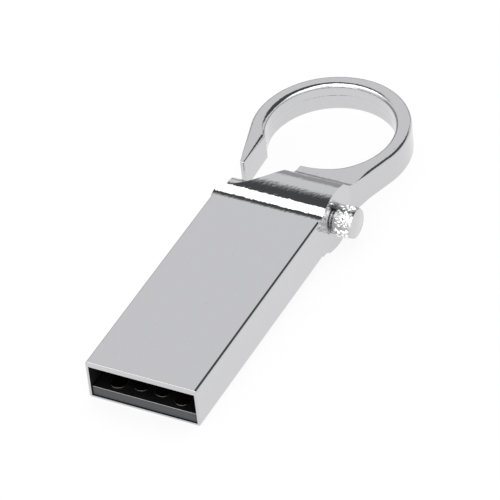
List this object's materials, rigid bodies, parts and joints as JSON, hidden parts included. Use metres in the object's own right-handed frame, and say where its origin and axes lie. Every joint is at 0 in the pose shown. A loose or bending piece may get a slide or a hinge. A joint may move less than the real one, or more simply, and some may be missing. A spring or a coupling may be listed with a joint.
{
  "type": "usb flash drive",
  "caption": "Capless metal memory stick whose rectangular shell is its own data plug, with a hook ring at the rear and a knurled screw that shuts the hook's gate.",
  "frame": {"origin": "centre of the plug's open mouth, on its front plane", "axes": "+Y from the mouth towards the hook ring, +X towards the knurled knob, +Z out of the face that the contacts point at"},
  "size_m": [0.0165, 0.0493, 0.0064],
  "materials": {
    "chrome_shell": "polished bright chrome plating on zinc alloy",
    "chrome_screw": "bright plated, knurled grip",
    "board_mask": "black solder mask on a thin circuit board",
    "mould_compound": "dark grey moulded epoxy with a fine matt grain",
    "adhesive": "double-sided film",
    "black_plastic": "moulded black plastic",
    "contact_gold": "thin gold plating",
    "silicon": "bare silicon die",
    "ceramic": "ceramic chip part"
  },
  "bodies": {
    "stick": {"plug_shell": "chrome_shell", "hook_tail": "chrome_shell", "module_substrate": "board_mask", "module_mould": "mould_compound", "glue_film": "adhesive", "filler_block": "black_plastic", "contact_supply": "contact_gold", "contact_data_minus": "contact_gold", "contact_data_plus": "contact_gold", "contact_ground": "contact_gold", "controller_die": "silicon", "flash_die_lower": "silicon", "flash_die_upper": "silicon", "capacitor_1": "ceramic", "capacitor_2": "ceramic", "capacitor_3": "ceramic", "capacitor_4": "ceramic", "resistor_1": "ceramic", "resistor_2": "ceramic", "resistor_3": "ceramic"},
    "screw_shank": {"gate_screw": "chrome_screw"},
    "screw_knob": {"knurled_knob": "chrome_screw"}
  },
  "joints": [
    {"name": "gate_slide", "type": "slide", "parent": "stick", "child": "screw_shank", "axis": [1, 0, 0], "range_m": [-0.00025, 0.004]},
    {"name": "screw_turn", "type": "hinge", "parent": "screw_shank", "child": "screw_knob", "pos_m": [0.0063, 0.03, 0], "axis": [1, 0, 0], "range_deg": [-180, 2880]}
  ],
  "couplings": [
    {"joint": "screw_turn", "follows": "gate_slide", "rad_per_m": 12566}
  ]
}
